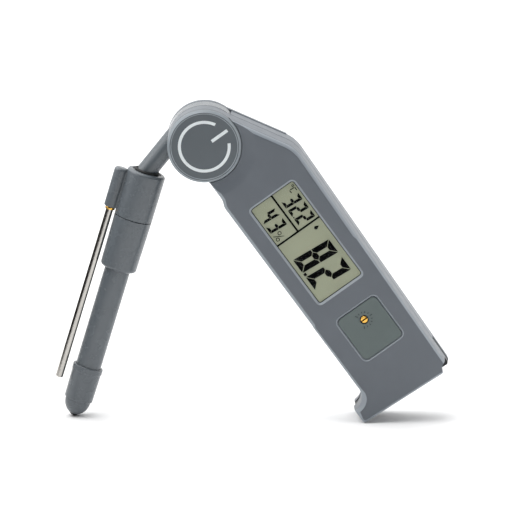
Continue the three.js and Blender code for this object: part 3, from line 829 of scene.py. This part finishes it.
def rear_cavity():
    """The hollow of the rear shell."""
    steps = [(0, -PAST_JOINT), (0, BACK - WALL)]
    return cut(
        prism(lambda inset: body_outline(WALL + inset), steps),
        pin(0, 0, DRUM_CLEAR_R + WALL, -PAST_Y, PAST_Y),
        block(HOOK_SOLID_X, PAST_X, -PAST_Y, PAST_Y, -PAST_Z, LOW_EDGE + WALL),
        block(REAR_END_WALL, PAST_X, -PAST_Y, PAST_Y, -PAST_Z, PAST_Z),
    )


def rear_shell():
    """The rear shell with its ear, the sleeves of the case screws and all holes."""
    shell = loft(shell_rings(BACK, -1, BACK_EDGE, PARTING + SEAM))
    shell = cut(
        shell,
        pin(0, 0, DRUM_CLEAR_R, -PAST_Y, PAST_Y),
        rear_cavity(),
        block(TRAY_ROOM_X, PAST_X, -PAST_Y, TRAY_ROOM_BACK, -PAST_Z, PAST_Z),
    )
    shell = join(shell, rounded_slab(ear_outline, REAR_EAR_FRONT, BACK, EAR_EDGE, BACK_EDGE))
    sleeves = [pin(x, z, SLEEVE_R, SLEEVE_FRONT, BACK - 1, 32) for x, z in CASE_SCREWS]
    shell = join(shell, *sleeves)
    holes = [
        pin(0, 0, AXLE_R + AXLE_PLAY, -PAST_Y, PAST_Y),
        pin(0, 0, *AXLE_SCREW_ROOM, PAST_Y),
    ]
    for x, z in CASE_SCREWS:
        holes.append(pin(x, z, SHANK_HOLE_R, -PAST_Y, PAST_Y, 24))
        holes.append(pin(x, z, HEAD_HOLE_R, HEAD_HOLE_FRONT, PAST_Y, 32))
    shell = cut(shell, *holes)
    place(shell, "rear_case", BODY, CASE, "meter_body", ["rear_shell"], 30)


def back_screw(name, node, x, z, head_r, head_back, head_height, shank_r, shank_end, slot_depth):
    """A screw with a low round head and a cross recess, put in from the back."""
    under_head = head_back - head_height
    corners = [
        (shank_end, 0, 0),
        (shank_end, shank_r, 0.2),
        (under_head, shank_r, 0),
        (under_head, head_r, 0.15),
        (head_back, head_r, 0.45),
        (head_back, 0, 0),
    ]
    screw = turned(corners, (x, z), "Y", 48, 4)
    arm = head_r * SLOT_REACH
    half = head_r * SLOT_HALF_WIDTH
    bottom = head_back - slot_depth
    screw = cut(
        screw,
        block(x - arm, x + arm, bottom, head_back + 1, z - half, z + half),
        block(x - half, x + half, bottom, head_back + 1, z - arm, z + arm),
    )
    place(screw, name, BODY, STEEL_PLAIN, "meter_body", [node], 30)


def back_screws():
    """The screw of the axle and the four case screws."""
    back_screw("axle_screw_head", "axle_screw", 0, 0, **AXLE_SCREW)
    for i, (x, z) in enumerate(CASE_SCREWS, 1):
        back_screw(f"case_screw_head_{i}", f"case_screw_{i}", x, z, **CASE_SCREW)


# -------- flat marks
def marks(name, polygons, layer, material, body):
    """Thin printed shapes on the body. Each polygon is a list of (x, z), and the layer is the
    depth of their front and back."""
    bm = bmesh.new()
    for points in polygons:
        front, back = [[bm.verts.new((x, depth, z)) for x, z in points] for depth in layer]
        bm.faces.new(front)
        bm.faces.new(list(reversed(back)))
        for i in range(len(points)):
            j = (i + 1) % len(points)
            bm.faces.new((front[i], back[i], back[j], front[j]))
    place(temporary(bm), name, BODY, material, body)


def arc_band(x, z, radius, width, start, end, steps):
    """A band along an arc, as one polygon. Angles are in degrees."""
    outer = []
    inner = []
    for k in range(steps + 1):
        angle = math.radians(start + (end - start) * k / steps)
        direction = Vector((math.cos(angle), math.sin(angle)))
        outer.append(Vector((x, z)) + direction * (radius + width / 2))
        inner.append(Vector((x, z)) + direction * (radius - width / 2))
    return outer + inner[::-1]


def bar(start, end, width):
    """A straight band between two points."""
    start, end = Vector(start), Vector(end)
    side = (end - start).normalized().orthogonal() * (width / 2)
    return [start + side, start - side, end - side, end + side]


def disc_emblem():
    """A plain power mark: folding the probe switches the meter."""
    ring = arc_band(0, 0, EMBLEM_R, EMBLEM_WIDTH, *EMBLEM_ARC, 72)
    low, high, width = STROKE
    stroke = bar((0, low), (0, high), width)
    marks("disc_print", [ring, stroke], DISC_PRINT, INK_LIGHT, "meter_body")


# -------- display
def digit(character, x, z, width, height, stroke, gap):
    """The lit segments of a seven-segment digit whose low left corner is at (x, z)."""
    w, h, t, g = width, height, stroke, gap
    m = h / 2
    shapes = {
        "a": [(g, h), (w - g, h), (w - t - g, h - t), (t + g, h - t)],
        "d": [(g, 0), (t + g, t), (w - t - g, t), (w - g, 0)],
        "f": [(0, h - g), (t, h - t - g), (t, m + t / 2 + g / 2), (t / 2, m + g), (0, m + g)],
        "e": [(0, g), (0, m - g), (t / 2, m - g), (t, m - t / 2 - g / 2), (t, t + g)],
        "g": [
            (t / 2 + g, m), (t + g, m + t / 2), (w - t - g, m + t / 2),
            (w - t / 2 - g, m), (w - t - g, m - t / 2), (t + g, m - t / 2),
        ],
    }
    shapes["b"] = [(w - p, q) for p, q in shapes["f"]]
    shapes["c"] = [(w - p, q) for p, q in shapes["e"]]
    lit = []
    for name in SEGMENTS[character]:
        lit.append([(x + p + q * SLANT, z + q) for p, q in shapes[name]])
    return lit


def display():
    """The glass panel close behind a thin clear window that fills the opening."""
    panel = plate(*PANEL, PANEL_FRONT, PANEL_BACK, 0.15)
    place(panel, "lcd_glass_plate", BODY, LCD_GLASS, "meter_body", ["lcd_panel"], 30)
    x0, x1, z0, z1, radius = WINDOW
    play = 0.1
    clear = plate(
        x0 + play, x1 - play, z0 + play, z1 - play, radius,
        PANEL_FRONT - 0.4, PANEL_FRONT - 0.15, 0.08,
    )
    place(clear, "lcd_window", BODY, LENS_CLEAR, "meter_body", ["lcd_lens"], 30)
    clear.visible_shadow = False


def display_border_shade():
    """A thin dark line round the visible part of the display: painted shade of the gap at the window's
    edge.
    """
    front, back = BORDER_SHADE_LAYER
    rings = []
    for inset, depth in ((-0.2, front), (0.3, front), (0.3, back), (-0.2, back)):
        rings.append([(x, depth, z) for x, z in rectangle(*WINDOW, inset)])
    border = loft(rings, capped=False)
    place(border, "lcd_border_shade", BODY, LCD_INK_AND_SHADE, "meter_body")


def display_marks():
    """The rules, the digits and the small signs of the display."""
    x0, _, z0, z1, _ = WINDOW
    shapes = [
        bar((RULE_X, z0 - 0.5), (RULE_X, z1 + 0.5), RULE_WIDTH),
        bar((x0 - 0.5, RULE_Z), (RULE_X - 0.4, RULE_Z), RULE_WIDTH),
    ]
    shapes += digit("8", 67.1, BIG_Z, *BIG)
    shapes += digit("2", 77.1, BIG_Z, *BIG)
    shapes.append(bar((75.2, 2.0), (76.6, 2.0), 1.3))
    for i, character in enumerate("322"):
        shapes += digit(character, 41.9 + SMALL_PITCH * i, SMALL_HIGH_Z, *SMALL)
    shapes.append(bar((50.8, 13.5), (51.4, 13.5), 0.6))
    shapes += digit("4", 41.7, SMALL_LOW_Z, *SMALL)
    shapes += digit("3", 47.3, SMALL_LOW_Z, *SMALL)
    # degree mark and C
    shapes.append(arc_band(38.7, 21.9, 0.45, 0.3, 0, 350, 16))
    shapes.append(bar((39.7, 22.2), (41.5, 22.2), 0.4))
    shapes.append(bar((39.75, 21.8), (39.6, 19.8), 0.4))
    shapes.append(bar((39.7, 19.4), (41.2, 19.4), 0.4))
    # per cent mark
    shapes.append(arc_band(53.2, 3.9, 0.75, 0.35, 0, 350, 20))
    shapes.append(arc_band(55.2, 1.5, 0.75, 0.35, 0, 350, 20))
    shapes.append(bar((53.0, 0.5), (55.5, 4.9), 0.3))
    # a small drop, for the reading of the liquid
    drop_x, drop_z, drop_r = 60.9, 18.9, 0.85
    drop = [(drop_x, drop_z + 2 * drop_r)]
    for k in range(13):
        angle = math.radians(40 - 260 * k / 12)
        drop.append((drop_x + drop_r * math.cos(angle), drop_z + drop_r * math.sin(angle)))
    shapes.append(drop)
    marks("lcd_digits", shapes, DIGIT_PRINT, LCD_INK_AND_SHADE, "meter_body")


# -------- label and trimmer
def label():
    """The label plate with its hole and a ring of tick marks round the calibration screw."""
    film = plate(*LABEL, FRONT + 0.15, FRONT + LABEL_DEPTH - 0.1, 0.12)
    hole = [(-PAST_Y, 0, 0), (-PAST_Y, LABEL_HOLE_R, 0), (0, LABEL_HOLE_R, 0), (0, 0, 0)]
    film = cut(film, turned(hole, TRIMMER, "Y", 48))
    place(film, "label_film_plate", BODY, LABEL_FILM, "meter_body", ["label_plate"], 40)
    ticks = []
    for k in range(TICKS):
        angle = math.radians(TICK_START + TICK_STEP * k)
        direction = Vector((math.cos(angle), math.sin(angle)))
        near = Vector(TRIMMER) + direction * TICK_INNER_R
        far = Vector(TRIMMER) + direction * (TICK_LONG_R if k % 5 == 0 else TICK_OUTER_R)
        ticks.append(bar(near, far, TICK_WIDTH))
    marks("label_print", ticks, LABEL_PRINT, INK_DARK, "meter_body")


def trimmer():
    """The brass calibration screw. The faces of its slot get a darker brass, which is painted shade."""
    x, z = TRIMMER
    head_front = FRONT + 0.05
    corners = [
        (head_front, 0, 0),
        (head_front, TRIMMER_HEAD_R, 0.35),
        (TRIMMER_BACK, TRIMMER_HEAD_R, 0.1),
        (TRIMMER_BACK, 0, 0),
    ]
    half, depth = TRIMMER_SLOT
    screw = turned(corners, TRIMMER, "Y", 48, 6)
    screw = cut(screw, block(x - half, x + half, FRONT - 1, FRONT + depth, z - 3, z + 3))
    place(screw, "trimmer_head", BODY, BRASS, "trimmer", ["trimmer_screw"], 30)
    screw.data.materials.append(BRASS_SLOT_SHADE)
    # The faces inside the slot get the darker brass as painted shade.
    centre = BODY @ Vector((x, 0, z))
    for face in screw.data.polygons:
        reach = math.hypot(face.center.x - centre.x, face.center.z - centre.z)
        sunk = (FRONT + 0.2) * MM < face.center.y < (FRONT + 1) * MM
        if sunk and reach < (TRIMMER_HEAD_R - 0.1) * MM:
            face.material_index = 1


# -------- battery tray and cells
def battery_tray():
    """The drawer, whose end follows the outline of the body."""
    end = rounded_slab(
        lambda inset: body_outline(TRAY_END_INSET + inset), TRAY_FRONT, TRAY_BACK, 0.4, 0.4
    )
    end = cut(end, block(-PAST_Z, TRAY_END_X, -PAST_Y, PAST_Y, -PAST_Z, PAST_Z))
    tray = join(plate(*TRAY, TRAY_FRONT, TRAY_BACK, 0.3), end)
    pocket_back = TRAY_BACK - 0.9
    pockets = [pin(x, z, CELL_R + 0.25, -PAST_Y, pocket_back) for x, z in CELLS]
    tray = cut(tray, *pockets)
    place(tray, "tray_drawer", BODY, BLACK_PLASTIC, "tray", ["battery_tray"], 30)


def button_cells():
    """The four cells in the pockets of the tray."""
    low = TRAY_FRONT + 0.1
    high = TRAY_BACK - 1.2
    corners = [
        (low, 0, 0),
        (low, 4.6, 0.2),
        (low + CELL_CAP_HEIGHT, CELL_CAP_R, 0),
        (low + CELL_CAP_HEIGHT, CELL_R, 0.3),
        (high, CELL_R, 0.4),
        (high, 0, 0),
    ]
    for i, (x, z) in enumerate(CELLS, 1):
        cell = turned(corners, (x, z), "Y", 64, 4)
        place(cell, f"button_cell_{i}", BODY, NICKEL, "tray", [f"cell_{i}"], 30)


# -------- probe
def tube_between(start, end, radius_start, radius_end, sides=48):
    """A round solid between two points of a drawing."""
    start, end = Vector(start), Vector(end)
    direction = (end - start).normalized()
    across = direction.cross(Vector((0, 1, 0))).normalized()
    other = direction.cross(across)
    rings = []
    for centre, radius in ((start, radius_start), (end, radius_end)):
        ring = []
        for i in range(sides):
            angle = 2 * math.pi * i / sides
            ring.append(centre + across * radius * math.cos(angle) + other * radius * math.sin(angle))
        rings.append(ring)
    return loft(rings)


def neck_elbow():
    """The ball that rounds off the bend of the neck."""
    steps = 24
    profile = [(ELBOW_X - NECK_R, 0)]
    for k in range(1, steps):
        angle = math.pi * k / steps
        profile.append((ELBOW_X - NECK_R * math.cos(angle), NECK_R * math.sin(angle)))
    profile.append((ELBOW_X + NECK_R, 0))
    return lathe(profile, (PROBE_Y, PROBE_LINE - ELBOW_DROP), "X", 64)


def probe_arm():
    """The hinge drum with the bent neck that carries the probe."""
    drum = turned(
        [(DRUM_FRONT, 0, 0), (DRUM_FRONT, DISC_R, 0.5), (DRUM_BACK, DISC_R, 0.5), (DRUM_BACK, 0, 0)],
        (0, 0),
        "Y",
        128,
    )
    sine = math.sin(NECK_BEND)
    cosine = math.cos(NECK_BEND)
    start = Vector((-NECK_OFFSET * sine, PROBE_Y, -NECK_OFFSET * cosine))
    end = start + Vector((cosine, 0, -sine)) * NECK_LENGTH
    neck = tube_between(start, end, NECK_ROOT_R, NECK_R, 64)
    elbow = neck_elbow()
    straight = [(ELBOW_X, 0), (ELBOW_X, NECK_R), (NECK_END_X, NECK_R), (NECK_END_X, 0)]
    arm = join(drum, neck, elbow, lathe(straight, AXIS, "X", 64))
    arm = cut(
        arm,
        pin(0, 0, AXLE_R + AXLE_PLAY / 2, -PAST_Y, PAST_Y),
        pin(0, 0, *WASHER_ROOM, PAST_Y),
        pin(*MAGNET, MAGNET_ROOM[0], -PAST_Y, MAGNET_ROOM[1], 32),
    )
    place(arm, "arm_and_drum", PROBE, GLOSSY_GREY, "arm", ["probe_arm"], 30)
    ring = turned(NECK_RING, AXIS, "X", 64)
    place(ring, "neck_ring", PROBE, RUBBER, "arm", ["neck_seal"], 50)


def collar():
    """The upper collar with the boss that holds the thin rod."""
    made = join(turned(COLLAR, AXIS, "X", 96, 8), turned(ROD_BOSS, ROD_AXIS, "X", 64, 8), block(*WEB))
    made = cut(
        made,
        lathe(NECK_HOLE, AXIS, "X", 64),
        lathe(PLUG_HOLE, AXIS, "X", 64),
        lathe(ROD_HOLE, ROD_AXIS, "X", 48),
    )
    place(made, "collar_top", PROBE, GLOSSY_GREY, "arm", ["collar_upper"], 30)


def rod():
    """The thin temperature rod and the brass ring at its root."""
    made = turned(ROD, ROD_AXIS, "X", 48, 6)
    place(made, "sensor_rod", PROBE, STEEL, "arm", ["temperature_rod"], 50)
    ferrule = turned(FERRULE, ROD_AXIS, "X", 48, 3)
    place(ferrule, "brass_ferrule", PROBE, BRASS, "arm", ["rod_ferrule"], 50)


def electrode():
    """The lower collar, which is the electrode's head, and its stem."""
    head = turned(ELECTRODE_HEAD, AXIS, "X", 96, 8)
    place(head, "collar_end", PROBE, GLOSSY_GREY, "electrode", ["electrode_head"], 30)
    stem = turned(STEM, AXIS, "X", 96, 5)
    place(stem, "stem_tube", PROBE, GLOSSY_GREY, "electrode", ["electrode_stem"], 30)


def storage_cap():
    """The cap with its rounded end and the black tip, which touches the ground."""
    tip_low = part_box("cap_tip")[0].z / MM
    along = JOINTS["electrode_pull"]["axis"]
    centre = (HINGE.z / MM - tip_low - TIP_R + PROBE_LINE * along[0]) / -along[2]
    nose = centre + NOSE_PAST_TIP
    corners = [*CAP_SIDE, (CAP_SHOULDER, CAP_SHOULDER_R, 0.7)]
    dome_turn = math.acos(NOSE_R / DOME_R)
    dome_length = (nose - CAP_SHOULDER) / math.sin(dome_turn)
    steps = 14
    for k in range(steps + 1):
        angle = dome_turn * k / steps
        along_dome = CAP_SHOULDER + dome_length * math.sin(angle)
        corners.append((along_dome, DOME_R * math.cos(angle), 0))
    corners += [(nose, 2, 0), (CAP_SHOULDER + 0.2, 2, 0), (132.8, 4.6, 0), (128, 6.1, 0)]
    shell = turned(corners, AXIS, "X", 96, 6)
    place(shell, "cap_shell", PROBE, GLOSSY_GREY, "cap_body", ["cap"], 30)

    stalk_end = nose + 0.15
    ball = [(nose - 2.8, 0), (nose - 2.8, TIP_STALK_R), (stalk_end, TIP_STALK_R)]
    start = math.acos((stalk_end - centre) / TIP_R)
    steps = 20
    for k in range(steps):
        angle = start * (1 - k / steps)
        ball.append((centre + TIP_R * math.cos(angle), TIP_R * math.sin(angle)))
    ball.append((centre + TIP_R, 0))
    tip = lathe(ball, AXIS, "X", 64)
    place(tip, "cap_nib", PROBE, BLACK_PLASTIC, "cap_body", ["cap_tip"], 50)


# -------- CAD nodes that stay
KEPT = {
    "lcd_holder": WHITE_PLASTIC,
    "lcd_contact_low": CONTACT_RUBBER,
    "lcd_contact_high": CONTACT_RUBBER,
    "main_board": BOARD,
    "display_chip": CHIP,
    "amplifier_chip": CHIP,
    "reed_switch": REED,
    "trimmer_body": TRIMMER_BLUE,
    "battery_bay": BAY_GREY,
    "contact_plus": NICKEL,
    "contact_minus": NICKEL,
    "hinge_axle": STEEL_PLAIN,
    "wave_washer": STEEL_PLAIN,
    "fold_magnet": NICKEL,
    "electrode_pins": BRASS,
    "glass_tube": PROBE_GLASS,
    "glass_bulb": PROBE_GLASS,
    "cap_o_ring": RUBBER,
}


def finish_kept_nodes():
    """Gives the pieces that keep their CAD shape a real material."""
    for name, material in KEPT.items():
        node = frame["nodes"][name]
        node.data.materials.clear()
        node.data.materials.append(material)


# -------- studio
MIDDLE = (cad_low + cad_high) / 2

WORLD_STRENGTH = 1.25
SUN_POWER = 2.2
SUN_SPREAD = math.radians(70)
SUN_TURN = (math.radians(-8), math.radians(-25), 0)

# Soft lights: name, place and size in metres, power in watts and tint.
SOFT_LIGHTS = (
    ("right_soft", (0.8, -0.25, 0.25), (0.25, 0.5), 0.7, (0.97, 0.985, 1)),
    ("left_soft", (-0.6, -0.2, 0.35), (0.6, 0.3), 1.0, (1, 1, 1)),
    ("front_soft", (-0.15, -0.45, 0.8), (0.35, 0.25), 1.0, (1, 1, 1)),
)

# Black cards: name, centre and size in metres.
FLAGS = (
    ("left_flag", (-0.22, 0.02, 0.08), (0.01, 0.26, 0.1)),
    ("front_flag", (0, -0.8, 0.9), (3.4, 0.02, 1.8)),
)

CAMERA_AIM = Vector((0.0011, 0, 0.003))  # from the middle of the meter
CAMERA_TILT = math.radians(13)
CAMERA_DISTANCE = 3.91


def floor():
    """A plain pale floor."""
    bpy.ops.mesh.primitive_plane_add(size=8)
    made = bpy.context.object
    made.name = "floor"
    finish = Finish("floor_white", (0.93, 0.93, 0.93, 1), 0.9)
    finish.mottled(60, 0.004)
    made.data.materials.append(finish.material)


def area_light(name, place_at, size, power, tint):
    """A soft light that faces the middle of the meter."""
    data = bpy.data.lights.new(name, "AREA")
    data.shape = "RECTANGLE"
    data.size, data.size_y = size
    data.energy = power
    data.color = tint
    light = bpy.data.objects.new(name, data)
    light.location = place_at
    light.rotation_euler = (MIDDLE - Vector(place_at)).to_track_quat("-Z", "Y").to_euler()
    light.visible_camera = False
    bpy.context.scene.collection.objects.link(light)


def flag(name, centre, size):
    """A black card that shades the object and that the camera doesn't see."""
    bm = bmesh.new()
    bmesh.ops.create_cube(bm, size=1)
    bmesh.ops.scale(bm, vec=size, verts=bm.verts)
    bmesh.ops.translate(bm, vec=centre, verts=bm.verts)
    made = temporary(bm)
    made.name = name
    black = Finish("flag_black", (0.01, 0.01, 0.01, 1), 0.9)
    made.data.materials.append(black.mottled(60, 0.1).material)
    made.visible_camera = False


def top_sun():
    """A broad light from above and a little from the left."""
    data = bpy.data.lights.new("top_sun", "SUN")
    data.energy = SUN_POWER
    data.angle = SUN_SPREAD
    light = bpy.data.objects.new("top_sun", data)
    light.rotation_euler = SUN_TURN
    bpy.context.scene.collection.objects.link(light)


def studio():
    """A white surround, the lights and the cards."""
    world = bpy.data.worlds.new("studio")
    bpy.context.scene.world = world
    world.use_nodes = True
    background = world.node_tree.nodes["Background"]
    background.inputs["Color"].default_value = (1, 1, 1, 1)
    background.inputs["Strength"].default_value = WORLD_STRENGTH
    top_sun()
    for light in SOFT_LIGHTS:
        area_light(*light)
    for card in FLAGS:
        flag(*card)
    bpy.context.scene.view_settings.view_transform = "Standard"


def camera():
    """A long lens that looks down a little on the front of the meter."""
    data = bpy.data.cameras.new("camera")
    data.lens = 600
    data.sensor_width = 36
    made = bpy.data.objects.new("camera", data)
    back = Vector((0, -math.cos(CAMERA_TILT), math.sin(CAMERA_TILT)))
    made.location = MIDDLE + CAMERA_AIM + back * CAMERA_DISTANCE
    made.rotation_euler = (math.pi / 2 - CAMERA_TILT, 0, 0)
    bpy.context.scene.collection.objects.link(made)
    bpy.context.scene.camera = made


front_shell()
hinge_cover()
rear_shell()
back_screws()
disc_emblem()
display()
# The dark line round the display is painted shade.
display_border_shade()
display_marks()
label()
trimmer()
battery_tray()
button_cells()
probe_arm()
collar()
rod()
electrode()
storage_cap()
finish_kept_nodes()
floor()
studio()
camera()
